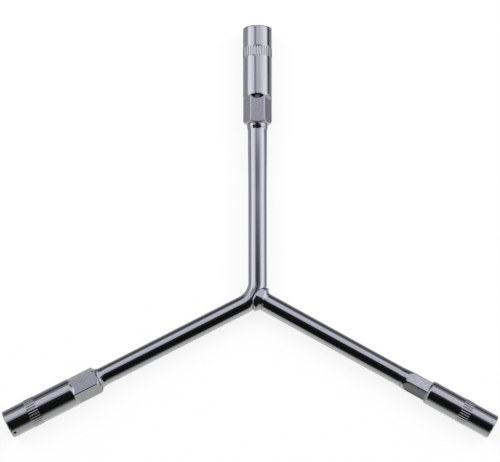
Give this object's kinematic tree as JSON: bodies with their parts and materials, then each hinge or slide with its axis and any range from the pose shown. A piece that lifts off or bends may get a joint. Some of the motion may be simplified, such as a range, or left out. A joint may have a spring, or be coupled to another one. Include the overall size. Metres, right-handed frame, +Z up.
{
  "type": "y wrench",
  "caption": "Chrome-plated Y-shaped socket wrench: a bent rod and a welded branch rod, each end with a hex-shank socket.",
  "frame": {"origin": "under the middle of the wrench's box, on the plane that it lies on", "axes": "+Z up as the wrench lies flat, +Y along the upper arm, +X to the right, in the plane of the three arms"},
  "size_m": [0.3148, 0.2682, 0.0192],
  "materials": {
    "rod_chrome": "bright chrome plate on drawn bar",
    "socket_chrome": "bright chrome on the turned body, satin on the hexagon flats",
    "weld_chrome": "chrome plate over dressed weld metal, slightly rippled"
  },
  "bodies": {
    "root": {"main_rod": "rod_chrome", "branch_rod": "rod_chrome", "junction_weld": "weld_chrome", "upper_socket": "socket_chrome", "left_socket": "socket_chrome", "right_socket": "socket_chrome", "upper_socket_weld": "weld_chrome", "left_socket_weld": "weld_chrome", "right_socket_weld": "weld_chrome"}
  },
  "joints": []
}
